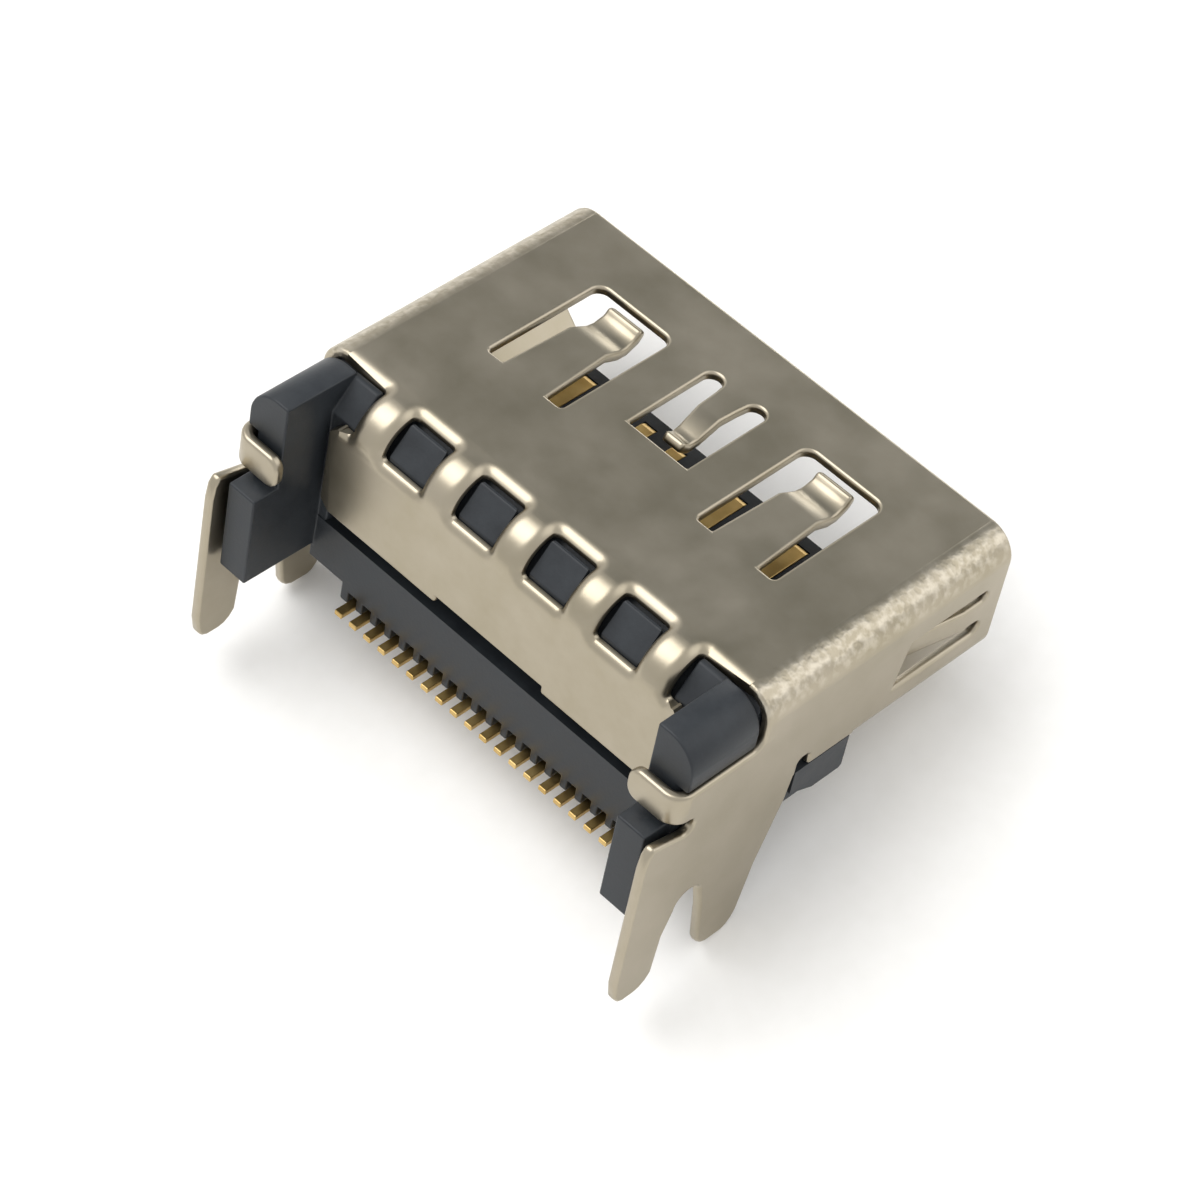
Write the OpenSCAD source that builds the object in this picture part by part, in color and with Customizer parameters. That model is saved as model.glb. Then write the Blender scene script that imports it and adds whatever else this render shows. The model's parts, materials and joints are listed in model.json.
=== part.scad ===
// Right-angle board socket for an HDMI plug: folded shell, moulded housing, nineteen contacts.
// The board face is z = 0, the mating face looks toward -y, y = 0 is the row of the front legs.

/* [Opening] */
// Inside width of the plug opening
open_w = 14; // [13.9:0.05:14.2]
// Inside height of the plug opening
open_h = 4.55; // [4.45:0.05:4.75]
// Outside width of the narrow floor of the shell
floor_w = 11; // [10.6:0.1:11.4]
// Height of the shell's top face over the board
top_h = 6.45; // [6.3:0.05:6.7]
// Distance from the front legs to the mating face
mouth_y = 8.5; // [8.3:0.1:9]
// Length of the part of the shell that is closed all round
tube_len = 4.85; // [4.6:0.05:5]

/* [Sheet] */
// Thickness of the shell's sheet
sheet_t = 0.28; // [0.24:0.01:0.3]
// Outside radius of the two long top bends
top_bend_r = 0.8; // [0.7:0.05:0.9]
// Outside radius of the lower bends
low_bend_r = 0.55; // [0.45:0.05:0.6]
// Height of the straight sides, from the top face down
side_h = 3.45; // [3.35:0.05:3.6]
// Open seam along the middle of the floor
seam_w = 0.06; // [0.04:0.01:0.1]

/* [Legs and hooks] */
// How far the leg tips reach below the board face
leg_drop = 1.65; // [1.5:0.05:2]
// Rear edge of the rear legs, behind the front leg row
leg_back_y = 3.35; // [3.25:0.05:3.5]
// Rear face of the hooks, behind the front leg row
hook_y = 2.62; // [2.6:0.02:2.7]
// Height of a hook strap
hook_h = 0.92; // [0.85:0.05:1]
// Depth of the hooks' top edge below the top face
hook_top = 1.42; // [1.38:0.02:1.46]
// Outside radius of the hooks' bend
hook_r = 0.5; // [0.45:0.05:0.55]
// Distance of the hook tips from the middle
hook_tip_x = 5.75; // [5.65:0.05:5.9]

/* [Back plate] */
// Rear face of the back plate, behind the front leg row
back_y = 1.05; // [1:0.02:1.1]
// Width of the back plate
back_w = 11.5; // [11.3:0.05:11.6]
// Lower edge of the back plate over the board
back_low = 2.75; // [2.65:0.05:2.85]
// Rise of the lower edge in its middle
back_rise = 0.2; // [0.1:0.02:0.25]
// Half width of the raised middle of the lower edge
back_rise_w = 1.75; // [1.5:0.05:2]
// Outside radius of the strips that carry the back plate
strip_r = 1.1; // [1:0.02:1.12]
// Distance between strip centres
strip_pitch = 2.31; // [2.25:0.01:2.35]
// Width of a strip
strip_w = 0.95; // [0.85:0.05:1.05]
// Rear edge of the top plate, ahead of the front leg row
top_rear_y = 0.12; // [0.1:0.01:0.16]
// Depth of the windows' lower edge below the top face
window_low = 0.97; // [0.94:0.01:1.05]
// Width of the rolled edge in front of the windows
roll_w = 0.3; // [0.2:0.02:0.32]
// Depth of that rolled edge
roll_d = 0.15; // [0.1:0.01:0.18]

/* [Springs] */
// Width of the opening round a top spring
spring_w = 2.44; // [2.34:0.02:2.5]
// Distance of the top spring centres from the middle
spring_x = 3.43; // [3.35:0.02:3.5]
// Length of the opening round a top spring
spring_l = 3.8; // [3.6:0.05:4]
// Front edge of the top spring openings, behind the mating face
spring_front = 1.8; // [1.7:0.05:1.95]
// Slot width beside a spring leaf
slot_w = 0.49; // [0.44:0.01:0.54]
// Drop of the spring leaves into the opening
leaf_drop = 0.28; // [0.24:0.02:0.34]
// Narrowing of a leaf on each side, from root to tip
leaf_taper = 0.2; // [0.1:0.02:0.24]
// Half width of the middle spring's opening
mid_w = 0.96; // [0.9:0.02:1]
// Slot width beside the middle leaf
mid_slot_w = 0.53; // [0.48:0.01:0.56]
// Front end of the middle slots, behind the mating face
mid_front = 1.76; // [1.65:0.05:1.9]
// Length of the middle spring's opening
mid_l = 2.86; // [2.8:0.02:3]
// Front end of the side springs, behind the mating face
side_front = 0.63; // [0.55:0.02:0.75]
// Length of the opening round a side spring
side_l = 3; // [2.9:0.05:3.1]
// Height of a side spring's opening
side_open = 1.41; // [1.35:0.02:1.45]
// Width of a side spring's leaf
side_leaf_w = 0.68; // [0.6:0.02:0.72]
// Distance of the floor springs from the middle
low_x = 2.65; // [2.5:0.05:2.8]
// Width of the opening round a floor spring
low_w = 2.1; // [2:0.05:2.2]
// Width of a floor spring's leaf
low_leaf_w = 1.3; // [1.2:0.05:1.4]
// Front end of the floor springs, behind the mating face
low_front = 1.25; // [1.15:0.05:1.35]
// Length of the opening round a floor spring
low_l = 2.85; // [2.75:0.05:3]

/* [Housing] */
// Front wall of the housing, ahead of the front leg row
body_front = 1.5; // [1.4:0.05:1.7]
// Top of the tongue below the shell's top face
tongue_top = 1.65; // [1.6:0.05:1.75]
// Thickness of the tongue
tongue_t = 0.95; // [0.85:0.05:1.05]
// Tip of the tongue behind the mating face
tongue_in = 2.58; // [2.45:0.05:2.7]
// Width of the tongue
tongue_w = 10.2; // [10:0.1:10.4]
// Inner face of the ears from the middle
ear_x = 5.98; // [5.94:0.01:6.02]
// Top of the ears below the shell's top face
ear_down = 0.08; // [0.05:0.01:0.15]
// Rear face of the feet, behind the front leg row
foot_y = 3; // [2.9:0.05:3.1]
// Bottom of the feet over the board
foot_low = 1.05; // [0.95:0.05:1.15]
// Top of the comb bar over the board
bar_top = 2.05; // [1.95:0.05:2.15]
// Rear face of the comb bar, behind the front leg row
bar_y = 0.76; // [0.7:0.02:0.85]
// Half width of the deep middle part of the comb
comb_x = 4.9; // [4.8:0.05:5.1]

/* [Contacts] */
// Distance between neighbouring tails
pitch = 0.5; // [0.48:0.005:0.51]
// Thickness of the contact sheet
pin_t = 0.15; // [0.12:0.01:0.17]
// Width of a contact on the tongue
beam_w = 0.4; // [0.34:0.02:0.44]
// Width of a contact's leg and tail
tail_w = 0.24; // [0.2:0.01:0.27]
// How far the tails reach behind the comb bar
tail_out = 0.42; // [0.35:0.01:0.5]
// How far a contact stands proud of the tongue
proud = 0.03; // [0.02:0.01:0.05]

/* [Fits] */
// Clearance between housing and shell
fit = 0.03; // [0.02:0.01:0.05]
// Gap round the housing's blocks in the windows
block_gap = 0.1; // [0.08:0.01:0.15]
// Clearance between a contact and its channel
pin_fit = 0.015; // [0.01:0.005:0.02]

/* [Hidden] */
$fn = 48;
out_w = open_w + 2 * sheet_t;
half_w = out_w / 2;
floor_z = top_h - open_h - 2 * sheet_t;
side_z = top_h - side_h;
tube_end = tube_len - mouth_y;
hook_z = top_h - hook_top;
slit_top = hook_z - hook_h;
slit_h = 0.48;
slit_y = 2.1;
strap_end = hook_y - hook_r;
strip_end = back_y - strip_r;
window_w = strip_pitch - strip_w;
notch_x = 2 * strip_pitch + strip_w / 2;
window_z = top_h - window_low;
plug_x = open_w / 2 - fit;
body_top = top_h - sheet_t - fit;
body_rear = back_y - sheet_t - fit;
body_low = floor_z + 0.05;
ear_y = hook_y - sheet_t - 0.1;
foot_top = slit_top - 0.3;
tongue_z = top_h - tongue_top;
tongue_tip = tongue_in - mouth_y;
slot_top = 0.42;
upper_leg = 0.1;
lower_leg = -0.6;
beam_tip = tongue_tip + 0.34;
tail_end = bar_y + tail_out;
lap = 0.1;
spring_y = spring_front - mouth_y;
spring_end = spring_y + spring_l;
leaf_in = spring_x - spring_w / 2 + slot_w;
leaf_out = spring_x + spring_w / 2 - slot_w;
mid_y = mid_front - mouth_y;
mid_end = mid_y + mid_l;
side_y = side_front - mouth_y;
groove_z = window_z - 0.2;
roll_r = (roll_w * roll_w + roll_d * roll_d) / (2 * roll_d);
side_top = top_h - 1.37;
side_low = side_top - side_open;
leaf_z = side_top - 0.31;
low_y = low_front - mouth_y;
skirt_end = -1.75;
STEEL = [0.68, 0.66, 0.61];
BLACK = [0.1, 0.1, 0.11];
GOLD = [0.8, 0.62, 0.28];
tube = [[-floor_w / 2, floor_z], [floor_w / 2, floor_z], [half_w, side_z],
    [half_w, top_h], [-half_w, top_h], [-half_w, side_z]];

// Unit vector from one point to the next
function edge(a, b) = (b - a) / norm(b - a);
// Normal on the left of an edge
function left(a, b) = [-edge(a, b)[1], edge(a, b)[0]];
// Neighbour of a corner in a closed outline
function near(p, i, s) = p[(i + s + len(p)) % len(p)];
// Corner moved inward with both of its edges
function corner(p, i, d) = let (m = left(near(p, i, -1), p[i]), n = left(p[i], near(p, i, 1)))
    p[i] + (m + n) * d / (1 + m * n);
// Outline moved inward by d
function inset(p, d) = [for (i = [0:len(p) - 1]) corner(p, i, d)];
// Length from a corner to the start of its rounding
function run(p, i, r) = let (m = left(near(p, i, -1), p[i]), n = left(p[i], near(p, i, 1)))
    r * sqrt((1 - m * n) / (1 + m * n));
// True where two edges meet at a right angle
function square_on(p, i) = abs(left(near(p, i, -1), p[i]) * left(p[i], near(p, i, 1))) < 0.001;
// Point on a corner's rounding, from its start at t = 0 to its end at t = 1
function arc(p, i, r, t) = let (m = left(near(p, i, -1), p[i]), n = left(p[i], near(p, i, 1)),
    d = m * (1 - t) + n * t) hub(p, i, r) - d / norm(d) * r;
// Points of one rounded corner: a right angle gets a true circle, so its two ends are enough
function ends(p, i, r) = r <= 0 ? [p[i]] : [for (t = [0:square_on(p, i) ? 1 : 1 / 6:1]) arc(p, i, r, t)];
// Centre of a corner's rounding
function hub(p, i, r) = p[i] - edge(near(p, i, -1), p[i]) * run(p, i, r) + left(near(p, i, -1), p[i]) * r;
// Normal of an open line at one of its points
function lean(p, i) = i == 0 ? left(p[0], p[1]) : i == len(p) - 1 ? left(p[i - 1], p[i]) :
    let (m = left(p[i - 1], p[i]), n = left(p[i], p[i + 1])) (m + n) / (1 + m * n);
// Open line moved sideways by d
function shift(p, d) = [for (i = [0:len(p) - 1]) p[i] + lean(p, i) * d];
// Upper face of contact k's beam: odd contacts lie on the tongue, even ones under it
function beam_z(k) = k % 2 == 1 ? tongue_z + proud : tongue_z - tongue_t - proud + pin_t;
// Rear face of contact k's leg
function leg_y(k) = k % 2 == 1 ? upper_leg : lower_leg;
// Closed outline of a bent sheet whose one face follows the open line
function bent(p, t) = concat(p, [for (i = [len(p) - 1:-1:0]) p[i] + lean(p, i) * t]);

// Convex outline with rounded corners
module rounded(p, r) {
    polygon([for (i = [0:len(p) - 1]) for (q = ends(p, i, r[i])) q]);
    for (i = [0:len(p) - 1]) {
        if (r[i] > 0 && square_on(p, i)) translate(hub(p, i, r[i])) circle(r = r[i]);
    }
}

module along_x(a, b) translate([a, 0, 0]) rotate([90, 0, 90]) linear_extrude(b - a) children();

module along_y(a, b) translate([0, b, 0]) rotate([90, 0, 0]) linear_extrude(b - a) children();

module along_z(a, b) translate([0, 0, a]) linear_extrude(b - a) children();

module both() {
    children();
    mirror([1, 0, 0]) children();
}

module box(x0, x1, y0, y1, z0, z1) translate([x0, y0, z0]) cube([x1 - x0, y1 - y0, z1 - z0]);

// Section of the plug opening, moved inward from the shell's outside by d
module tube2d(d) rounded(inset(tube, d), [low_bend_r - d, low_bend_r - d, low_bend_r - d,
    top_bend_r - d, top_bend_r - d, low_bend_r - d]);

// Section of the top and the two walls, open below
module arch2d(d, low) rounded([[d - half_w, low], [half_w - d, low], [half_w - d, top_h - d],
    [d - half_w, top_h - d]], [0, 0, top_bend_r - d, top_bend_r - d]);

// Outline of a side wall with its two legs, seen from the side
module side2d() {
    difference() {
        polygon([[tube_end, top_h + 1], [tube_end, side_z], [-1.62, side_z], [-1.57, 2.2], [-1.03, 0.35],
            [-0.78, 0.5 - leg_drop], [-0.67, 0.25 - leg_drop], [-0.52, 0.07 - leg_drop], [-0.35, -leg_drop],
            [0.2, -leg_drop], [0.36, 0.07 - leg_drop], [0.48, 0.19 - leg_drop], [0.55, 0.35 - leg_drop],
            [0.75, 0], [0.93, 0.75], [1.77, 0.75], [2, 0], [2.08, 0.4 - leg_drop], [2.22, 0.19 - leg_drop],
            [2.4, 0.05 - leg_drop], [2.6, -leg_drop], [2.98, -leg_drop], [3.14, 0.07 - leg_drop],
            [3.26, 0.27 - leg_drop], [leg_back_y, 0.75 - leg_drop], [leg_back_y, slit_top - 0.9],
            [leg_back_y - 0.06, slit_top - 0.45], [leg_back_y - 0.2, slit_top - 0.22],
            [slit_y, slit_top - slit_h], [slit_y, slit_top], [strap_end, slit_top], [strap_end, hook_z],
            [0, hook_z], [-top_rear_y, hook_z], [-top_rear_y, top_h + 1]]);
        translate([1.35, 0.75]) circle(r = 0.42);
        translate([slit_y, slit_top - slit_h / 2]) circle(r = slit_h / 2);
        rounded([[-2.12, side_z - 0.5], [-1.72, side_z - 0.5], [-1.72, side_z + 0.45],
            [-2.12, side_z + 0.45]], [0, 0, 0.15, 0.15]);
    }
    difference() {
        translate([-top_rear_y - 0.01, hook_z - 0.01]) square(0.3);
        translate([0.29 - top_rear_y, hook_z + 0.29]) circle(r = 0.29);
    }
}

// Hook strap: quarter bend and a flat with a rounded tip
module hook() {
    along_z(slit_top, hook_z) intersection() {
        difference() {
            translate([half_w - hook_r, strap_end]) circle(r = hook_r);
            translate([half_w - hook_r, strap_end]) circle(r = hook_r - sheet_t);
        }
        translate([half_w - hook_r, strap_end]) square(hook_r);
    }
    along_y(hook_y - sheet_t, hook_y) rounded([[hook_tip_x, slit_top], [half_w - hook_r, slit_top],
        [half_w - hook_r, hook_z], [hook_tip_x, hook_z]], [0.35, 0, 0, 0.35]);
}

// Side view of the sheet that runs from the top plate down into the back plate
module back2d() {
    translate([-top_rear_y, top_h - sheet_t]) square([strip_end + top_rear_y, sheet_t]);
    translate([strip_end, top_h - strip_r]) intersection() {
        difference() {
            circle(r = strip_r);
            circle(r = strip_r - sheet_t);
        }
        square(strip_r);
    }
    translate([back_y - sheet_t, back_low]) square([sheet_t, top_h - strip_r - back_low]);
}

// One window over the rear bend, with round corners from above and from behind
module window(x0, x1) intersection() {
    along_z(back_low, top_h + 1) rounded([[x0, -top_rear_y], [x1, -top_rear_y],
        [x1, back_y + 1], [x0, back_y + 1]], [0.14, 0.14, 0, 0]);
    along_y(-top_rear_y - 1, back_y + 1) rounded([[x0, window_z], [x1, window_z],
        [x1, top_h + 1], [x0, top_h + 1]], [0.14, 0.14, 0, 0]);
}

// Rolled edge in front of a window
module roll(x0, x1) along_x(x0, x1) difference() {
    translate([-top_rear_y - roll_w, top_h - roll_d]) square([roll_w + lap, 2 * roll_d]);
    translate([-top_rear_y - roll_w, top_h - roll_r]) circle(r = roll_r);
}

module back_plate() difference() {
    along_x(-back_w / 2, back_w / 2) back2d();
    for (i = [-1.5:1:1.5]) window(i * strip_pitch - window_w / 2, i * strip_pitch + window_w / 2);
    both() box(notch_x, half_w, -top_rear_y, back_y + 1, window_z, top_h + 1);
    box(-back_rise_w, back_rise_w, 0, back_y + 1, back_low - 1, back_low + back_rise);
    both() translate([back_w / 2, 0, window_z]) rotate([0, 45, 0]) cube([0.4, 4, 0.4], center = true);
    both() translate([back_w / 2, 0, back_low]) rotate([0, 45, 0]) cube([0.4, 4, 0.4], center = true);
    box(-notch_x - 0.2, notch_x + 0.2, back_y - 0.05, back_y + 1, groove_z, groove_z + 0.09);
}

// Leaf of a spring in the top plate: root behind, tip ahead and curled up
module top_leaf() intersection() {
    along_x(leaf_in - 1, leaf_out + 1) polygon(bent([[spring_y + 0.4, top_h], [spring_y + 0.55, top_h - 0.19],
        [spring_y + 0.85, top_h - leaf_drop], [spring_y + 1.1, top_h - leaf_drop + 0.03],
        [spring_y + 1.65, top_h], [spring_end + lap, top_h]], -sheet_t));
    along_z(top_h - 2, top_h + 1) polygon([[leaf_in, spring_end + lap],
        [leaf_in + leaf_taper / 2, spring_y + 1.65], [leaf_in + leaf_taper, spring_y],
        [leaf_out - leaf_taper, spring_y], [leaf_out - leaf_taper / 2, spring_y + 1.65],
        [leaf_out, spring_end + lap]]);
}

// Leaf of the middle spring: root ahead, tip behind and curled up
module mid_leaf() intersection() {
    along_x(-mid_w, mid_w) polygon(bent([[mid_y + 0.5 - lap, top_h], [mid_y + 1.1, top_h],
        [mid_y + 1.75, top_h - leaf_drop], [mid_y + 2, top_h - leaf_drop - 0.03],
        [mid_y + 2.22, top_h - leaf_drop + 0.13]], -sheet_t));
    along_z(top_h - 2, top_h + 1) polygon([[mid_slot_w - mid_w, mid_y], [mid_w - mid_slot_w, mid_y],
        [0.27, mid_end], [-0.27, mid_end]]);
}

// Opening of the middle spring: two slots with round ends that run into one wide end
module mid_opening() along_z(top_h - 2 * sheet_t, top_h + 1) {
    translate([-mid_w, mid_y + 0.5]) square([2 * mid_w, mid_l - 0.5]);
    for (s = [-1, 1]) translate([s * (mid_w - mid_slot_w / 2), mid_y + mid_slot_w / 2]) {
        circle(r = mid_slot_w / 2);
        translate([-mid_slot_w / 2, 0]) square([mid_slot_w, 0.5]);
    }
}

// Leaf of a spring in the side wall: root ahead, tip behind and inside
module side_leaf() along_z(leaf_z - side_leaf_w, leaf_z)
    polygon(bent([[half_w, side_y + 0.4 - lap], [half_w, side_y + 0.75],
        [half_w - 0.3, side_y + side_l - 0.6], [half_w - 0.27, side_y + side_l - 0.35]], sheet_t));

// Slit with a round front end, between two heights
module side_slit(a, b) {
    translate([side_y + (b - a) / 2, (a + b) / 2]) circle(r = (b - a) / 2);
    translate([side_y + (b - a) / 2, a]) square([0.5, b - a]);
}

// Opening of a side spring: two slits with round ends that run into one wide end
module side_opening() along_x(half_w - 2 * sheet_t, half_w + 1) {
    polygon([[side_y + 0.4, side_top], [side_y + 0.4, side_low], [side_y + side_l, side_low],
        [side_y + side_l - 0.29, side_top]]);
    side_slit(leaf_z, side_top);
    side_slit(side_low, leaf_z - side_leaf_w);
}

// Leaf of a spring in the floor: root behind, tip ahead
module floor_leaf() along_x(low_x - low_leaf_w / 2, low_x + low_leaf_w / 2)
    polygon(bent([[low_y + 0.35, floor_z + leaf_drop - 0.03], [low_y + 0.61, floor_z + leaf_drop],
        [low_y + 1.55, floor_z], [low_y + low_l + lap, floor_z]], sheet_t));

module shell() color(STEEL) {
    difference() {
        union() {
            along_y(-mouth_y, tube_end) difference() {
                tube2d(0);
                tube2d(sheet_t);
            }
            intersection() {
                along_y(tube_end, leg_back_y + 1) difference() {
                    arch2d(0, -leg_drop - 1);
                    arch2d(sheet_t, -leg_drop - 2);
                }
                along_x(-half_w - 1, half_w + 1) side2d();
            }
            back_plate();
            both() hook();
        }
        for (i = [-1.5:1:1.5]) roll(i * strip_pitch - window_w / 2, i * strip_pitch + window_w / 2);
        both() roll(notch_x, half_w - top_bend_r);
        both() along_z(top_h - 2 * sheet_t, top_h + 1) translate([spring_x, spring_y])
            rounded([[-spring_w / 2, 0], [spring_w / 2, 0], [spring_w / 2, spring_l],
                [-spring_w / 2, spring_l]], [0.3, 0.3, 0.12, 0.12]);
        mid_opening();
        both() side_opening();
        both() box(low_x - low_w / 2, low_x + low_w / 2, low_y, low_y + low_l, floor_z - 1,
            floor_z + 2 * sheet_t);
        box(-seam_w / 2, seam_w / 2, -mouth_y - 1, tube_end + 1, floor_z - 1, floor_z + 2 * sheet_t);
    }
    both() top_leaf();
    mid_leaf();
    both() side_leaf();
    both() floor_leaf();
}

// Side view of contact k behind its beam: back over the body, down a leg, out along the board
function wire(k) = let (z = beam_z(k), y = leg_y(k)) [[0.25 - body_front, z], [y - 0.3, z], [y, z - 0.3],
    [y, pin_t + 0.2], [y + 0.2, pin_t], [tail_end, pin_t]];

// Channel of contact k: groove on the tongue, leg down through the body, slot in the comb
module channel(k) translate([(k - 10) * pitch, 0, 0]) {
    box(-beam_w / 2 - pin_fit, beam_w / 2 + pin_fit, beam_tip - pin_fit, 0.3 - body_front,
        beam_z(k) - pin_t - pin_fit, beam_z(k) + pin_fit);
    along_x(-tail_w / 2 - pin_fit, tail_w / 2 + pin_fit)
        polygon(bent(shift(wire(k), pin_fit), -pin_t - 2 * pin_fit));
    box(-tail_w / 2 - pin_fit, tail_w / 2 + pin_fit, leg_y(k) - pin_t - pin_fit, bar_y + 1, -1, slot_top);
}

// Ear with its foot on one side of the housing
module ear() {
    intersection() {
        box(ear_x, plug_x, 0.3, ear_y, foot_low, hook_z + 0.3);
        along_z(foot_low - 1, top_h) rounded([[ear_x, 0], [plug_x, 0], [plug_x, ear_y], [ear_x, ear_y]],
            [0, 0, 0.25, 0]);
    }
    intersection() {
        along_y(0.05, ear_y) rounded([[0, 0], [half_w - 0.1, 0], [half_w - 0.1, top_h - ear_down],
            [0, top_h - ear_down]], [0, 0, 0.85, 0]);
        box(ear_x, half_w, 0, ear_y, hook_z + 0.05, top_h);
    }
    box(ear_x, plug_x - 0.12, 0.3, foot_y, foot_low, foot_top);
}

// Block of the housing that fills a window
module block(x0, x1) along_x(x0, x1) polygon([[block_gap / 2 - top_rear_y, bar_top + 1],
    [body_rear, bar_top + 1], [body_rear, window_z + 0.03], [body_rear - 0.62, top_h - 0.2],
    [block_gap / 2 - top_rear_y, top_h - 0.2]]);

// Skirt that fills the corner under a side wall, between the tube and the front leg
module skirt() along_x(open_w / 2 - 0.3, half_w - fit) polygon([[tube_end + 0.04, side_z - fit],
    [tube_end + 0.04, floor_z + 0.62], [tube_end + 0.14, floor_z + 0.54], [skirt_end - 0.85, floor_z + 0.54],
    [skirt_end, floor_z + 0.9], [skirt_end, side_z - fit]]);

module housing() color(BLACK) difference() {
    union() {
        difference() {
            along_y(-body_front, body_rear) rounded([[-plug_x, body_low], [plug_x, body_low],
                [plug_x, body_top], [-plug_x, body_top]],
                [0, 0, top_bend_r - sheet_t - 0.05, top_bend_r - sheet_t - 0.05]);
            along_x(-half_w, half_w) polygon([[strip_end - 0.35, top_h], [strip_end - 0.35, body_top],
                [body_rear, top_h - strip_r - 0.3], [body_rear + 1, top_h]]);
        }
        for (i = [-1.5:1:1.5])
            block(i * strip_pitch - window_w / 2 + block_gap, i * strip_pitch + window_w / 2 - block_gap);
        both() block(notch_x + block_gap, ear_x + 0.1);
        box(-tongue_w / 2, tongue_w / 2, tongue_tip, 0.1 - body_front, tongue_z - tongue_t, tongue_z);
        difference() {
            box(0.1 - open_w / 2, open_w / 2 - 0.1, tube_end + 0.05, 0.1 - body_front, floor_z + 0.02,
                side_z + 0.4);
            along_y(tube_end - 1, 1) tube2d(sheet_t);
        }
        both() difference() {
            skirt();
            along_y(tube_end - 1, 1) tube2d(sheet_t);
        }
        box(-ear_x - 0.1, ear_x + 0.1, -0.95, bar_y, 0.6, bar_top);
        box(-comb_x, comb_x, -0.95, bar_y, 0.06, bar_top);
        both() ear();
    }
    box(-ear_x + 0.3, ear_x - 0.3, 0.3, 2, bar_top, back_low + 0.4);
    for (k = [1:19]) channel(k);
}

// Contact k: flat beam on the tongue, leg down through the body, tail on the board
module contact(k) color(GOLD) translate([(k - 10) * pitch, 0, 0]) {
    along_x(-beam_w / 2, beam_w / 2) polygon([[beam_tip, beam_z(k) - pin_t],
        [0.25 - body_front, beam_z(k) - pin_t], [0.25 - body_front, beam_z(k)],
        [beam_tip + 0.15, beam_z(k)], [beam_tip, beam_z(k) - 0.06]]);
    along_x(-tail_w / 2, tail_w / 2) polygon(bent(wire(k), -pin_t));
}

module contact_01() contact(1);

module contact_02() contact(2);

module contact_03() contact(3);

module contact_04() contact(4);

module contact_05() contact(5);

module contact_06() contact(6);

module contact_07() contact(7);

module contact_08() contact(8);

module contact_09() contact(9);

module contact_10() contact(10);

module contact_11() contact(11);

module contact_12() contact(12);

module contact_13() contact(13);

module contact_14() contact(14);

module contact_15() contact(15);

module contact_16() contact(16);

module contact_17() contact(17);

module contact_18() contact(18);

module contact_19() contact(19);

shell();
housing();
contact_01();
contact_02();
contact_03();
contact_04();
contact_05();
contact_06();
contact_07();
contact_08();
contact_09();
contact_10();
contact_11();
contact_12();
contact_13();
contact_14();
contact_15();
contact_16();
contact_17();
contact_18();
contact_19();
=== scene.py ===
# %% [markdown]
# A board socket is a folded steel shell round a moulded body with a row of thin contacts.
# The solids are already made and packed, so this lesson only dresses them: it rounds the
# sheet's edges, draws its rear bend anew, gives every surface a finish, sets the light and
# puts the camera where the photograph was taken. The first cell loads the solids and keeps
# their box, because the dressed model may not be larger than they are.

# %% Load the solids
import json
import math
import bpy
import bmesh
from mathutils import Matrix, Vector

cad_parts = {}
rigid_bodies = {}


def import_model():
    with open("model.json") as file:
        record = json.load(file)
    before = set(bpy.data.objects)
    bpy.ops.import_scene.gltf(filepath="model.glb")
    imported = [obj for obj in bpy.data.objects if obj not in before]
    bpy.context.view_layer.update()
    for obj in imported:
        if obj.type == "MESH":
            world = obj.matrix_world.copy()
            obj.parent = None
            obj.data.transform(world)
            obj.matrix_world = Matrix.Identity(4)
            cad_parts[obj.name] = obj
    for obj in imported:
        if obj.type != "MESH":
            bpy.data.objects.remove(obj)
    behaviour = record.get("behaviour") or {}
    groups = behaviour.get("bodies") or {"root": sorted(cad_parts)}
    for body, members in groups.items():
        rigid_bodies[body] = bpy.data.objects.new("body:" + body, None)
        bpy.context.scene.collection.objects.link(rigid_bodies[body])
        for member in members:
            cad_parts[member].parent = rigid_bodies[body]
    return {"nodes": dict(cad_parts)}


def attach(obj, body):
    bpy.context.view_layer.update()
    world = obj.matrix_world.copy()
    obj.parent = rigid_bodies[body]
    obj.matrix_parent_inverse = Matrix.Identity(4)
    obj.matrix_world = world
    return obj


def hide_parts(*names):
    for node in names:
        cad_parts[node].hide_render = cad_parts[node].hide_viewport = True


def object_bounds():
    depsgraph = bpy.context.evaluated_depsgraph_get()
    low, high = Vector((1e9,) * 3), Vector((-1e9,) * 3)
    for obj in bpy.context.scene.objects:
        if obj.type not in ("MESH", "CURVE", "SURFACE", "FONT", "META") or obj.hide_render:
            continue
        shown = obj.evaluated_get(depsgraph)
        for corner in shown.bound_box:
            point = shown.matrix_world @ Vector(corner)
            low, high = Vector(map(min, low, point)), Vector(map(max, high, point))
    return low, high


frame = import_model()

cad_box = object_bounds()
nodes = frame["nodes"]
scene = bpy.context.scene
scene.view_settings.view_transform = "Standard"
MM = 0.001
print(len(nodes), "solids,", [round((b - a) / MM, 2) for a, b in zip(*cad_box)], "mm over all")

# %% [markdown]
# The camera was found by fitting it to about thirty points that are seen in the picture and
# known on the solids, such as the corners of the windows and the ends of the tail slots.
# A camera's own axes are its right, its up and its back, so these three make its matrix.
# The long lens is why the sides of the part look almost parallel.

# %% Camera
CAMERA_AT = Vector((-40.080, 52.693, 72.911)) * MM
CAMERA_RIGHT = Vector((-0.703529, -0.695207, 0.147421))
CAMERA_AHEAD = Vector((0.405486, -0.563043, -0.720114))
FOCAL_PIXELS = 4150
PICTURE_PIXELS = 1200
SENSOR = 36
CLIP_NEAR = 5 * MM
CLIP_FAR = 5000 * MM

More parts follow.
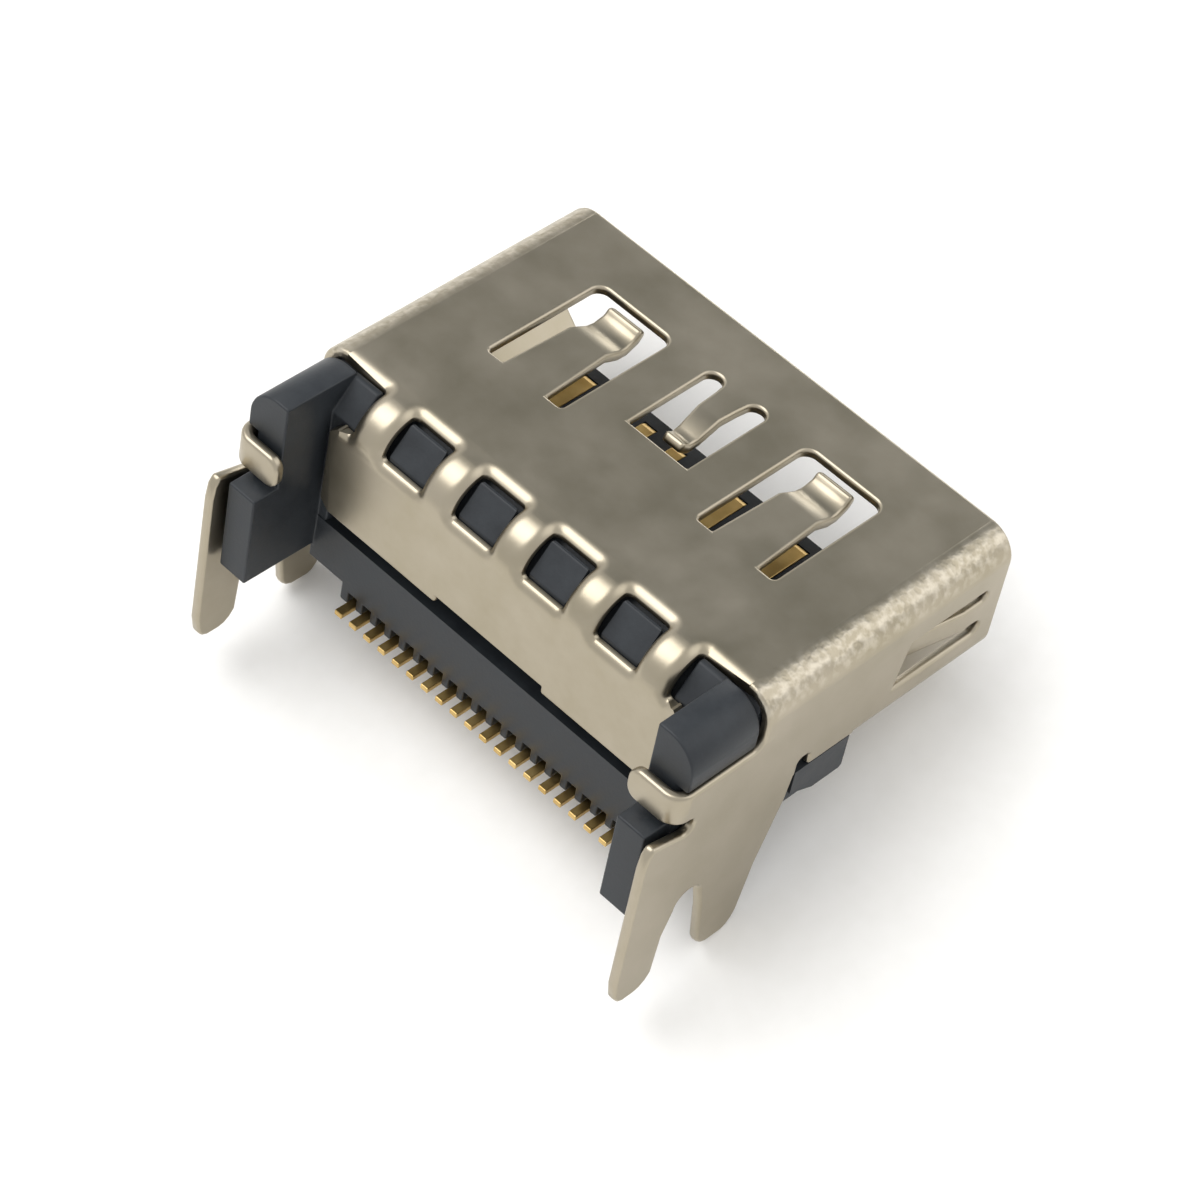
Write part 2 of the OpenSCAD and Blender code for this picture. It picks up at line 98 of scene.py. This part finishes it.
lens = bpy.data.cameras.new("camera")
lens.sensor_width = SENSOR
lens.lens = FOCAL_PIXELS * SENSOR / PICTURE_PIXELS
lens.clip_start = CLIP_NEAR
lens.clip_end = CLIP_FAR
camera = bpy.data.objects.new("camera", lens)
scene.collection.objects.link(camera)
back = -CAMERA_AHEAD.normalized()
right = (CAMERA_RIGHT - back * CAMERA_RIGHT.dot(back)).normalized()
up = back.cross(right)
camera.matrix_world = Matrix.Translation(CAMERA_AT) @ Matrix((right, up, back)).transposed().to_4x4()
scene.camera = camera
print("lens", round(lens.lens, 1), "mm, height", round(math.degrees(math.asin(back.z)), 1), "degrees")

# %% [markdown]
# Four small helpers serve every material. One turns a colour as it is written on a screen
# into the linear light that a shader wants. One adds a node with its settings, the stops of a
# ramp and its links, so that a material reads as a list. One starts a material with an empty
# tree. One turns the real size of a pattern into the scale that a texture asks for.

# %% Helpers for materials
def linear(hex_colour):
    parts = [int(hex_colour[i:i + 2], 16) / 255 for i in (1, 3, 5)]
    return tuple(c / 12.92 if c < 0.04045 else ((c + 0.055) / 1.055) ** 2.4 for c in parts) + (1,)


def add(tree, kind, links=None, stops=(), **settings):
    node = tree.nodes.new(kind)
    for name, value in settings.items():
        if hasattr(node, name):
            setattr(node, name, value)
        else:
            node.inputs[name.replace("_", " ")].default_value = value
    for k, (place, colour) in enumerate(stops):
        node.color_ramp.elements[k].position = place
        node.color_ramp.elements[k].color = linear(colour)
    for name, source in (links or {}).items():
        tree.links.new(source, node.inputs[name])
    return node


def start(name):
    material = bpy.data.materials.new(name)
    material.use_nodes = True
    tree = material.node_tree
    tree.nodes.clear()
    return material, tree


def per_mm(size):
    return 1 / (size * MM)


print("white is", linear("#FFFFFF")[:3])

# %% [markdown]
# The shell is stamped from thin steel and plated with nickel. Nickel is a warm grey metal, so
# a neutral studio gives it a slight straw tint. The plating is a little uneven, and one broad
# noise gives that to its tone and its gloss. Where the sheet is bent along its two long edges
# its skin puckers like orange peel, and the crests of the peel get a painted highlight: a lighter
# colour is mixed in where the peel is high. The bends are found by their place, far out from the
# middle and near the top, so no mask has to be painted.

# %% Nickel plated steel
BEND_X = 6.62 * MM
BEND_Z = 5.95 * MM
BEND_FADE = 0.16 * MM

nickel, tree = start("nickel_plated_steel")
place = add(tree, "ShaderNodeTexCoord").outputs["Object"]
cloud = add(tree, "ShaderNodeTexNoise", {"Vector": place}, Scale=per_mm(2.2), Detail=4.0, Roughness=0.6)
tone = add(tree, "ShaderNodeValToRGB", {"Fac": cloud.outputs["Fac"]},
           stops=((0.3, "#A09783"), (0.7, "#AEA594")))
gloss = add(tree, "ShaderNodeMapRange", {"Value": cloud.outputs["Fac"]}, From_Min=0.3, From_Max=0.7,
            To_Min=0.29, To_Max=0.36)
axes = add(tree, "ShaderNodeSeparateXYZ", {"Vector": place})
out = add(tree, "ShaderNodeMath", {0: axes.outputs["X"]}, operation="ABSOLUTE")
far = add(tree, "ShaderNodeMapRange", {"Value": out.outputs[0]}, From_Min=BEND_X - BEND_FADE,
          From_Max=BEND_X + BEND_FADE)
high = add(tree, "ShaderNodeMapRange", {"Value": axes.outputs["Z"]}, From_Min=BEND_Z - BEND_FADE,
           From_Max=BEND_Z + BEND_FADE)
bend = add(tree, "ShaderNodeMath", {0: far.outputs["Result"], 1: high.outputs["Result"]},
           operation="MULTIPLY")
peel = add(tree, "ShaderNodeTexNoise", {"Vector": place}, Scale=per_mm(0.22), Detail=2.0, Roughness=0.5)
pucker = add(tree, "ShaderNodeBump", {"Height": peel.outputs["Fac"], "Strength": bend.outputs[0]},
             Distance=0.03 * MM)
# Painted highlight: on the bends the high parts of the peel are picked out as a mask for a lighter colour.
crest_highlight_level = add(tree, "ShaderNodeMapRange", {"Value": peel.outputs["Fac"]}, From_Min=0.42, From_Max=0.66,
           To_Max=0.45)
painted_highlight_mask = add(tree, "ShaderNodeMath", {0: crest_highlight_level.outputs["Result"], 1: bend.outputs[0]},
            operation="MULTIPLY")
# This mix paints the highlight onto the crests by lightening the nickel tone toward #DDD5C5.
painted_crest_highlight = add(tree, "ShaderNodeMix", {"Factor": painted_highlight_mask.outputs[0], "A": tone.outputs["Color"]},
                   data_type="RGBA", B=linear("#DDD5C5"))
metal = add(tree, "ShaderNodeBsdfPrincipled", {"Base Color": painted_crest_highlight.outputs["Result"],
            "Roughness": gloss.outputs["Result"], "Normal": pucker.outputs["Normal"]}, Metallic=1.0)
add(tree, "ShaderNodeOutputMaterial", {"Surface": metal.outputs["BSDF"]})
print(nickel.name, len(tree.nodes), "nodes")

# %% [markdown]
# The body is moulded in a black glass-filled plastic that stands soldering heat. The mould is
# spark-eroded, so its faces are matte with a fine even grain, and the fibres leave it slightly
# cloudy. One noise makes the cloud and a finer one the grain. The real grain is too fine for
# the picture, so it is drawn at 0.08 mm. It is a cool black, lighter where it faces the light.

# %% Black glass-filled plastic
plastic, tree = start("black_moulded_plastic")
place = add(tree, "ShaderNodeTexCoord").outputs["Object"]
cloud = add(tree, "ShaderNodeTexNoise", {"Vector": place}, Scale=per_mm(0.9), Detail=5.0, Roughness=0.65)
tone = add(tree, "ShaderNodeValToRGB", {"Fac": cloud.outputs["Fac"]},
           stops=((0.3, "#23262A"), (0.72, "#2E3236")))
gloss = add(tree, "ShaderNodeMapRange", {"Value": cloud.outputs["Fac"]}, From_Min=0.3, From_Max=0.7,
            To_Min=0.36, To_Max=0.5)
grain = add(tree, "ShaderNodeTexNoise", {"Vector": place}, Scale=per_mm(0.08), Detail=2.0)
skin = add(tree, "ShaderNodeBump", {"Height": grain.outputs["Fac"]}, Strength=0.25, Distance=0.01 * MM)
moulded = add(tree, "ShaderNodeBsdfPrincipled", {"Base Color": tone.outputs["Color"],
              "Roughness": gloss.outputs["Result"], "Normal": skin.outputs["Normal"]}, IOR=1.38)
add(tree, "ShaderNodeOutputMaterial", {"Surface": moulded.outputs["BSDF"]})
print(plastic.name, len(tree.nodes), "nodes")

# %% [markdown]
# The contacts are stamped from bronze strip and flashed with gold. The flash is thin, so its
# tone drifts from pale gold to a duller bronze, and the rolled strip keeps a satin sheen. One
# noise is enough for both, because a contact is only a few tenths of a millimetre wide.

# %% Gold flash on bronze
gold, tree = start("gold_flashed_bronze")
place = add(tree, "ShaderNodeTexCoord").outputs["Object"]
cloud = add(tree, "ShaderNodeTexNoise", {"Vector": place}, Scale=per_mm(0.7), Detail=3.0)
tone = add(tree, "ShaderNodeValToRGB", {"Fac": cloud.outputs["Fac"]},
           stops=((0.3, "#B8985A"), (0.7, "#D8BB7E")))
gloss = add(tree, "ShaderNodeMapRange", {"Value": cloud.outputs["Fac"]}, From_Min=0.3, From_Max=0.7,
            To_Min=0.3, To_Max=0.4)
strip = add(tree, "ShaderNodeBsdfPrincipled", {"Base Color": tone.outputs["Color"],
            "Roughness": gloss.outputs["Result"]}, Metallic=1.0)
add(tree, "ShaderNodeOutputMaterial", {"Surface": strip.outputs["BSDF"]})
print(gold.name, len(tree.nodes), "nodes")

# %% [markdown]
# Punching pulls the edge of a sheet over into a small roll, and that roll is why every hole in
# the real shell has a bright rim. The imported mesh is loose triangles, so a copy of it is merged
# and its flat faces are joined first. Then bevel can round the true edges. A Bevel modifier
# that goes by angle would round them all, but where edges are crowded, or two surfaces run into
# each other at a very flat angle, there is no room for a round. So the operator gets a list of
# edges, and those in a few named boxes stay sharp. A box counts on both halves of the part.

# %% A copy with joined faces
MERGE = 0.0005 * MM
FLAT_ANGLE = 0.4
EDGE_ANGLE = 34


def copy_of(node):
    shape = bmesh.new()
    shape.from_mesh(nodes[node].data)
    bmesh.ops.remove_doubles(shape, verts=shape.verts, dist=MERGE)
    return shape


def join_flats(shape):
    bmesh.ops.remove_doubles(shape, verts=shape.verts, dist=MERGE)
    bmesh.ops.dissolve_limit(shape, angle_limit=math.radians(FLAT_ANGLE), verts=shape.verts,
                             edges=shape.edges)


def within(point, low, high):
    return all(a <= c / MM <= b for c, a, b in zip((abs(point.x), point.y, point.z), low, high))


def sharp(shape, crowded):
    edges = [e for e in shape.edges if e.is_manifold and e.calc_face_angle() > math.radians(EDGE_ANGLE)]
    stay = [e for e in edges if any(within((e.verts[0].co + e.verts[1].co) / 2, *c) for c in crowded)]
    for e in stay:
        e.smooth = False
    return [e for e in edges if e.smooth]


def round_edges(shape, edges, width, segments):
    bmesh.ops.bevel(shape, geom=edges, offset=width * MM, offset_type="OFFSET", affect="EDGES",
                    segments=segments, profile=0.5, material=-1, clamp_overlap=False)


print("flats within", FLAT_ANGLE, "degrees are joined, edges over", EDGE_ANGLE, "degrees are rounded")

# %% [markdown]
# The shell and the body end the same way. The faces are shaded smooth and the hardest edges are
# kept, and a Weighted Normal modifier keeps the flats flat beside the small rounds. Then the
# piece is told to ride with the part and to stand for its solid.

# %% Finishing a piece
SHADE_ANGLE = 50


def hard(edge):
    return edge.is_manifold and edge.calc_face_angle() > math.radians(SHADE_ANGLE)


def open_edges(shape):
    return len([e for e in shape.edges if not e.is_manifold])


def finish_piece(shape, name, node, material):
    for face in shape.faces:
        face.smooth = True
    for edge in shape.edges:
        if hard(edge):
            edge.smooth = False
    mesh = bpy.data.meshes.new(name)
    shape.to_mesh(mesh)
    shape.free()
    mesh.materials.append(material)
    piece = bpy.data.objects.new(name, mesh)
    scene.collection.objects.link(piece)
    even = piece.modifiers.new("even shading", "WEIGHTED_NORMAL")
    even.keep_sharp = True
    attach(piece, "root")
    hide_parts(node)
    return piece


print("edges over", SHADE_ANGLE, "degrees are shaded hard")

# %% [markdown]
# The shell's rear bend is the part the eye goes to. On the solid the rolled edge in front of each
# window is a straight strip with a step at both ends, and on the real sheet one wide roll runs
# all round the window. So that stretch of the copy is taken out and drawn anew. These tools cut
# a shape by a plane, tell what lies in the stretch, find a corner, and close the cut ends.

# %% Tools for the cuts
TOP_CUT = -0.62
BACK_CUT = 5.1
TOP_X = 6.5
BACK_X = 5.4
TOP_LOWEST = 6
BACK_FOREMOST = -0.4
CUTS = ((1, TOP_CUT), (2, BACK_CUT), (0, TOP_X), (0, -TOP_X), (0, BACK_X), (0, -BACK_X))
CUT_SLACK = 1e-7
PLANE_SLACK = 0.001


def cut(shape, at, normal, parts=None, **keep):
    parts = parts or shape.verts[:] + shape.edges[:] + shape.faces[:]
    bmesh.ops.bisect_plane(shape, geom=parts, plane_co=at, plane_no=normal, dist=CUT_SLACK, **keep)


def in_stretch(point):
    x, y, z = abs(point.x) / MM, point.y / MM, point.z / MM
    in_top = x < TOP_X and y > TOP_CUT and z > TOP_LOWEST
    return in_top or (x < BACK_X and y > BACK_FOREMOST and z > BACK_CUT)


def nearest(shape, point):
    return min(shape.verts, key=lambda v: (v.co - Vector(point) * MM).length)


def close_plane(shape, axis, place):
    edges = [e for e in shape.edges if len(e.link_faces) < 2
             and all(abs(v.co[axis] / MM - place) < PLANE_SLACK for v in e.verts)]
    made = bmesh.ops.edgenet_fill(shape, edges=edges)["faces"]
    for face in made:
        for edge in face.edges:
            edge.smooth = False
    return len(made)


print(len(CUTS), "cuts free the rear bend")

# %% [markdown]
# The small step where the middle leaf leaves its slot is drawn together first, because it is too
# short to be rounded. Then all punched edges are rounded, and the rear bend is cut free. An edge
# through the sheet at each inner corner parts the cut ends, so that each lies in one plane and
# can be filled.

# %% Shell
TOP_Z = cad_box[1][2] / MM
BACK_Y = 1.05
SHEET = 0.28
PUNCHED_R = 0.09
PUNCHED_STEPS = 3
TUBE_END = ((6.5, -3.7, 1.9), (7.4, -3.6, 3.4))
SLIT_FOOT = ((6.95, -1.75, 2.9), (7.3, -1.55, 3.1))
REAR_BEND = ((0, -0.6, 5.15), (6.52, 1.1, 6.46))
LEAF_STEP = ((0.39, -6.243, 6.1), (0.44, -6.237, 6.46))
LEAF_X = 0.402

shape = copy_of("shell")
for v in shape.verts:
    if within(v.co, *LEAF_STEP):
        v.co.x = math.copysign(LEAF_X * MM, v.co.x)
join_flats(shape)
edges = sharp(shape, [TUBE_END, SLIT_FOOT, REAR_BEND])
round_edges(shape, edges, PUNCHED_R, PUNCHED_STEPS)
for axis, place in CUTS:
    normal = Vector([float(k == axis) for k in range(3)])
    cut(shape, normal * place * MM, normal)
stretch = [f for f in shape.faces if in_stretch(f.calc_center_median())]
bmesh.ops.delete(shape, geom=stretch, context="FACES")
for side in (-1, 1):
    top_corner = (side * TOP_X, TOP_CUT, TOP_Z), (side * TOP_X, TOP_CUT, TOP_Z - SHEET)
    back_corner = (side * BACK_X, BACK_Y, BACK_CUT), (side * BACK_X, BACK_Y - SHEET, BACK_CUT)
    for outer, inner in (top_corner, back_corner):
        shape.edges.new((nearest(shape, outer), nearest(shape, inner)))
closed = [close_plane(shape, axis, place) for axis, place in CUTS]
print("shell:", len(edges), "edges rounded,", sum(closed), "ends closed,", open_edges(shape), "open edges")

# %% [markdown]
# A bend is easiest to draw flat, in millimetres, with the width along x and the way round the
# bend along y. Each hole is a stack of rings that sink toward its edge like the roll on the solid.
# Bevel could round the holes, but on strips this narrow two rounds meet and twist, so the rings
# are set out on the roll's own arc. The last tool wraps a point of the flat sheet round the bend.

# %% Tools for the rear bend
BEND_AT = (-0.05, 5.35)
BEND_R = 1.1
BEND_END = BEND_R * math.pi / 2
WINDOW_FRONT = -0.07
WINDOW_LOW_Z = 5.48
WINDOW_LOW = BEND_R * math.acos((WINDOW_LOW_Z - BEND_AT[1]) / BEND_R)
CORNER_R = 0.16
CORNER_STEPS = 7


def ring(flat, x0, x1, grow, depth):
    r = CORNER_R + grow
    low, up_to = WINDOW_FRONT - grow + r, WINDOW_LOW + grow - r
    left, right_x = x0 - grow + r, x1 + grow - r
    verts = []
    for k, (x, y) in enumerate(((right_x, up_to), (left, up_to), (left, low), (right_x, low))):
        for i in range(CORNER_STEPS + 1):
            a = math.radians(90 * (k + i / CORNER_STEPS))
            verts.append(flat.verts.new((x + r * math.cos(a), y + r * math.sin(a), -depth)))
    return verts


def skirt(flat, upper, lower):
    for i in range(len(upper)):
        j = (i + 1) % len(upper)
        flat.faces.new((upper[i], upper[j], lower[j], lower[i]))


def loop_edges(flat, verts):
    pairs = zip(verts, verts[1:] + verts[:1])
    return [flat.edges.get((a, b)) or flat.edges.new((a, b)) for a, b in pairs]


def wrapped(point):
    x, s, z = point
    if s <= 0:
        return Vector((x, BEND_AT[0] + s, TOP_Z + z))
    if s >= BEND_END:
        return Vector((x, BACK_Y + z, BEND_AT[1] - (s - BEND_END)))
    a = s / BEND_R
    return Vector((x, BEND_AT[0] + (BEND_R + z) * math.sin(a), BEND_AT[1] + (BEND_R + z) * math.cos(a)))


print("the bend is", round(BEND_END, 2), "mm long when it is flat")

# %% [markdown]
# The four windows stand on one pitch. The two notches beside them are drawn as windows too, on
# a sheet that is wider than the part, and later the sheet is trimmed through them. Each hole
# joins the upper side to the lower, and a fill closes both sides between the holes.

# %% Flat sheet
PITCH = 2.31
WINDOW_HALF = 0.68
NOTCH_X = 5.0975
NOTCH_END = 8
SPARE_X = 9
ROLL_W = 0.3
ROLL_R = 0.375
ROLL_STEPS = 6

flat = bmesh.new()
first, last = TOP_CUT - BEND_AT[0], BEND_END + BEND_AT[1] - BACK_CUT
rim = [(SPARE_X, first), (SPARE_X, last), (-SPARE_X, last), (-SPARE_X, first)]
tops = [flat.verts.new((x, s, 0)) for x, s in rim]
unders = [flat.verts.new((x, s, -SHEET)) for x, s in rim]
skirt(flat, unders, tops)
top_edges, under_edges = loop_edges(flat, tops), loop_edges(flat, unders)
holes = [(i * PITCH - WINDOW_HALF, i * PITCH + WINDOW_HALF) for i in (-1.5, -0.5, 0.5, 1.5)]
holes += [(NOTCH_X, NOTCH_END), (-NOTCH_END, -NOTCH_X)]
for x0, x1 in holes:
    rings = []
    for k in range(ROLL_STEPS + 1):
        in_from = ROLL_W * math.sin(math.pi / 2 * k / ROLL_STEPS)
        rings.append(ring(flat, x0, x1, ROLL_W - in_from, ROLL_R - math.sqrt(ROLL_R ** 2 - in_from ** 2)))
    rings.append(ring(flat, x0, x1, 0, SHEET))
    for upper, lower in zip(rings, rings[1:]):
        skirt(flat, upper, lower)
    top_edges += loop_edges(flat, rings[0])
    under_edges += loop_edges(flat, rings[-1])
for rims, facing in ((top_edges, 1), (under_edges, -1)):
    bmesh.ops.triangle_fill(flat, use_beauty=True, use_dissolve=False, edges=rims, normal=(0, 0, facing))
bmesh.ops.recalc_face_normals(flat, faces=flat.faces)
print("flat sheet:", len(holes), "holes,", len(flat.faces), "faces,", open_edges(flat), "open edges")

# %% [markdown]
# Before the sheet is wrapped it is cut across at every few degrees of the bend, so that it has
# points to bend at. The roll fades out at the far end of each notch, where the rest of the shell
# begins. Then the wrapped sheet joins the rest of the shell as one piece.

# %% Wrap the sheet
BEND_STEPS = 18
BACK_PART = 1
TOP_FADE = 6.0
BACK_FADE = 5.15
UNDERSIDE_SLACK = 0.01

for k in range(BEND_STEPS + 1):
    cut(flat, (0, BEND_END * k / BEND_STEPS, 0), (0, 1, 0))
for side in (-1, 1):
    cut(flat, (side * TOP_X, 0, 0), (side, 0, 0), clear_outer=True)
    ends = [f for f in flat.faces if any(side * v.co.x > BACK_X and v.co.y > BACK_PART for v in f.verts)]
    parts = list(dict.fromkeys(p for f in ends for p in (f, *f.edges, *f.verts)))
    cut(flat, (side * BACK_X, 0, 0), (side, 0, 0), parts, clear_outer=True)
bmesh.ops.holes_fill(flat, edges=[e for e in flat.edges if e.is_boundary], sides=0)
for e in flat.edges:
    e.smooth = not hard(e)
for v in flat.verts:
    end, fade = (BACK_X, BACK_FADE) if v.co.y > BACK_PART else (TOP_X, TOP_FADE)
    if abs(v.co.x) > fade and v.co.z > -SHEET + UNDERSIDE_SLACK:
        v.co.z *= max(0, (end - abs(v.co.x)) / (end - fade))
print("trimmed sheet:", len(flat.faces), "faces,", open_edges(flat), "open edges")
for v in flat.verts:
    v.co = wrapped(v.co) * MM
sheet = bpy.data.meshes.new("wrapped")
flat.to_mesh(sheet)
flat.free()
shape.from_mesh(sheet)
bpy.data.meshes.remove(sheet)
shell = finish_piece(shape, "folded_shell", "shell", nickel)
print("shell:", len(shell.data.polygons), "faces")

# %% [markdown]
# The body's moulded corners are softer than a cut sheet's, and its blocks sit a little back in
# their windows, with a dark gap in front. So the front edge of each block is moved back before
# the corners are rounded. Tight places, such as the inside of the mouth and the feet of the
# blocks, stay sharp, because two rounds would run into each other there.

# %% Body
BLOCK_FRONT = -0.07
BLOCK_BACK = 0.14
BLOCK_LOWEST = 6.2
BLOCK_X = 5
BLOCK_SLACK = 0.005
MOULDED_R = 0.05
MOULDED_STEPS = 2
EAR_FOOT = ((6.6, 2.0, 4.9), (7.2, 2.3, 5.2))
MOUTH_INSIDE = ((0, -8.6, 1.2), (7.3, -0.8, 5.3))
BAR_LEDGE = ((0, 0.6, 1.9), (6.1, 1.0, 2.2))
BLOCK_FEET = ((0, 0.05, 5.4), (4.3, 0.62, 5.93))
BEND_SEAT = ((6.8, -0.6, 5.55), (7.1, 0.1, 5.85))

shape = copy_of("housing")
for v in shape.verts:
    x, y, z = abs(v.co.x) / MM, v.co.y / MM, v.co.z / MM
    if abs(y - BLOCK_FRONT) < BLOCK_SLACK and z > BLOCK_LOWEST and x < BLOCK_X:
        v.co.y += BLOCK_BACK * MM
join_flats(shape)
corners = sharp(shape, [EAR_FOOT, MOUTH_INSIDE, BAR_LEDGE, BLOCK_FEET, BEND_SEAT])
round_edges(shape, corners, MOULDED_R, MOULDED_STEPS)
body = finish_piece(shape, "moulded_body", "housing", plastic)
print("body:", len(corners), "corners,", len(body.data.polygons), "faces")

# %% [markdown]
# A contact is a thin strip, and a Bevel modifier is enough for its edges. The Weld before it
# joins the loose triangles, and a planar Decimate joins the flat ones. Modifiers leave the
# solid's own mesh as it is, so nothing has to be copied.

# %% Contacts
STRIP_R = 0.02
STRIP_STEPS = 2
STRIP_FLAT = 0.5
STRIP_EDGE = 35

contacts = [name for name in nodes if name.startswith("contact")]
for name in contacts:
    piece = nodes[name]
    piece.data.materials.clear()
    piece.data.materials.append(gold)
    weld = piece.modifiers.new("weld", "WELD")
    weld.merge_threshold = MERGE
    planar = piece.modifiers.new("flat faces", "DECIMATE")
    planar.decimate_type = "DISSOLVE"
    planar.angle_limit = math.radians(STRIP_FLAT)
    edge = piece.modifiers.new("rolled edge", "BEVEL")
    edge.width = STRIP_R * MM
    edge.segments = STRIP_STEPS
    edge.profile = 0.5
    edge.limit_method = "ANGLE"
    edge.angle_limit = math.radians(STRIP_EDGE)
print(len(contacts), "contacts")

# %% [markdown]
# Put down on a table, the socket tips forward: it rests on the lower edge of its mouth and on
# the tips of its front legs. The solids keep the frame of the board, so here the table leans
# instead. The lower outline of the part, seen from the side, gives the line it rests on: the
# edge of that outline that lies under the part's middle.

# %% The table it rests on
MIDDLE_Y = -3 * MM
TABLE = 160 * MM


def turn(a, b, c):
    return (b[0] - a[0]) * (c[1] - a[1]) - (b[1] - a[1]) * (c[0] - a[0])


outline = []
for p in sorted({(round(v.co.y, 6), round(v.co.z, 6)) for n in nodes.values() for v in n.data.vertices}):
    while len(outline) > 1 and turn(outline[-2], outline[-1], p) <= 0:
        outline.pop()
    outline.append(p)
front, rear = next((a, b) for a, b in zip(outline, outline[1:]) if a[0] <= MIDDLE_Y < b[0])
along = Vector((0, rear[0] - front[0], rear[1] - front[1])).normalized()
lean = math.degrees(math.atan2(along.z, along.y))

table_shape = bmesh.new()
bmesh.ops.create_grid(table_shape, x_segments=1, y_segments=1, size=TABLE / 2)
across = Vector((1, 0, 0))
stand = Matrix((across, along, across.cross(along))).transposed().to_4x4()
stand.translation = Vector((0, front[0], front[1]))
bmesh.ops.transform(table_shape, matrix=stand, verts=table_shape.verts)
table_mesh = bpy.data.meshes.new("table")
table_shape.to_mesh(table_mesh)
table_shape.free()
table = bpy.data.objects.new("table", table_mesh)
scene.collection.objects.link(table)
print("the table leans", round(lean, 1), "degrees from", [round(c / MM, 2) for c in front], "to",
      [round(c / MM, 2) for c in rear])

# %% [markdown]
# The table is white card, lit and shaded like any surface, so it keeps the soft shadow. Its
# fibres show as a faint drift of tone. Seen from below it is clear, because the leaning table
# would hide the mouth from the front.

# %% White card
card, tree = start("white_card")
place = add(tree, "ShaderNodeTexCoord").outputs["Object"]
fibre = add(tree, "ShaderNodeTexNoise", {"Vector": place}, Scale=per_mm(0.6), Detail=3.0)
tone = add(tree, "ShaderNodeValToRGB", {"Fac": fibre.outputs["Fac"]},
           stops=((0, "#F4F3F0"), (1, "#FAF9F7")))
paper = add(tree, "ShaderNodeBsdfDiffuse", {"Color": tone.outputs["Color"]})
clear = add(tree, "ShaderNodeBsdfTransparent")
below = add(tree, "ShaderNodeNewGeometry").outputs["Backfacing"]
mix = add(tree, "ShaderNodeMixShader", {"Fac": below, 1: paper.outputs[0], 2: clear.outputs[0]})
add(tree, "ShaderNodeOutputMaterial", {"Surface": mix.outputs[0]})
table_mesh.materials.append(card)
print(card.name, len(tree.nodes), "nodes")

# %% [markdown]
# A metal part is drawn by what it mirrors. The bends, the walls and the back plate mirror a
# bright room and the white card. The flat top mirrors one place ahead and to the left, and in
# the picture it is calm and grey, so the dome has a soft grey patch there. The patch is laid
# by the angle between a ray and the way the top mirrors the camera.

# %% The dome
ROOM = (0.92, 0.92, 0.92, 1)
PATCH = (0.27, 0.29, 0.31, 1)
PATCH_WAY = (0.22, -0.70, 0.68)
PATCH_FULL = math.cos(math.radians(10))
PATCH_END = math.cos(math.radians(40))

world = bpy.data.worlds.new("studio")
scene.world = world
world.use_nodes = True
tree = world.node_tree
tree.nodes.clear()
way = add(tree, "ShaderNodeTexCoord").outputs["Generated"]
toward = add(tree, "ShaderNodeVectorMath", {0: way}, operation="DOT_PRODUCT")
toward.inputs[1].default_value = PATCH_WAY
shade = add(tree, "ShaderNodeMapRange", {"Value": toward.outputs["Value"]}, From_Min=PATCH_END,
            From_Max=PATCH_FULL, interpolation_type="SMOOTHSTEP")
room = add(tree, "ShaderNodeMix", {"Factor": shade.outputs["Result"]}, data_type="RGBA", A=ROOM, B=PATCH)
sky = add(tree, "ShaderNodeBackground", {"Color": room.outputs["Result"]})
add(tree, "ShaderNodeOutputWorld", {"Surface": sky.outputs[0]})
print("room", ROOM[:3], "with a patch of", PATCH[:3])

# %% [markdown]
# Three round lamps do the rest. The main one hangs overhead, behind the part: the strips and the
# rolled rims mirror it, so they flash white. A large weak one stands on the side of the right
# bend, and fills the shadow there. A small one in front lights the leaves that slope toward it.
# Each is given by its way from the part, its distance and size in millimetres, and its power.

# %% Lamps
def disk_lamp(name, way, distance, size, power):
    light = bpy.data.lights.new(name, "AREA")
    light.shape = "DISK"
    light.size = size * MM
    light.energy = power
    lamp = bpy.data.objects.new(name, light)
    at = Vector(way).normalized() * distance
    lamp.location = at * MM
    lamp.rotation_mode = "QUATERNION"
    lamp.rotation_quaternion = at.to_track_quat("Z", "Y")
    scene.collection.objects.link(lamp)


disk_lamp("main_lamp", (0.40, 0.31, 0.86), 150, 136, 0.14)
disk_lamp("side_lamp", (-0.46, -0.52, 0.72), 160, 150, 0.048)
disk_lamp("front_lamp", (0.38, -0.86, 0.35), 170, 60, 0.03)

# %% [markdown]
# The last cell brings the scene up to date.

# %% The end
bpy.context.view_layer.update()
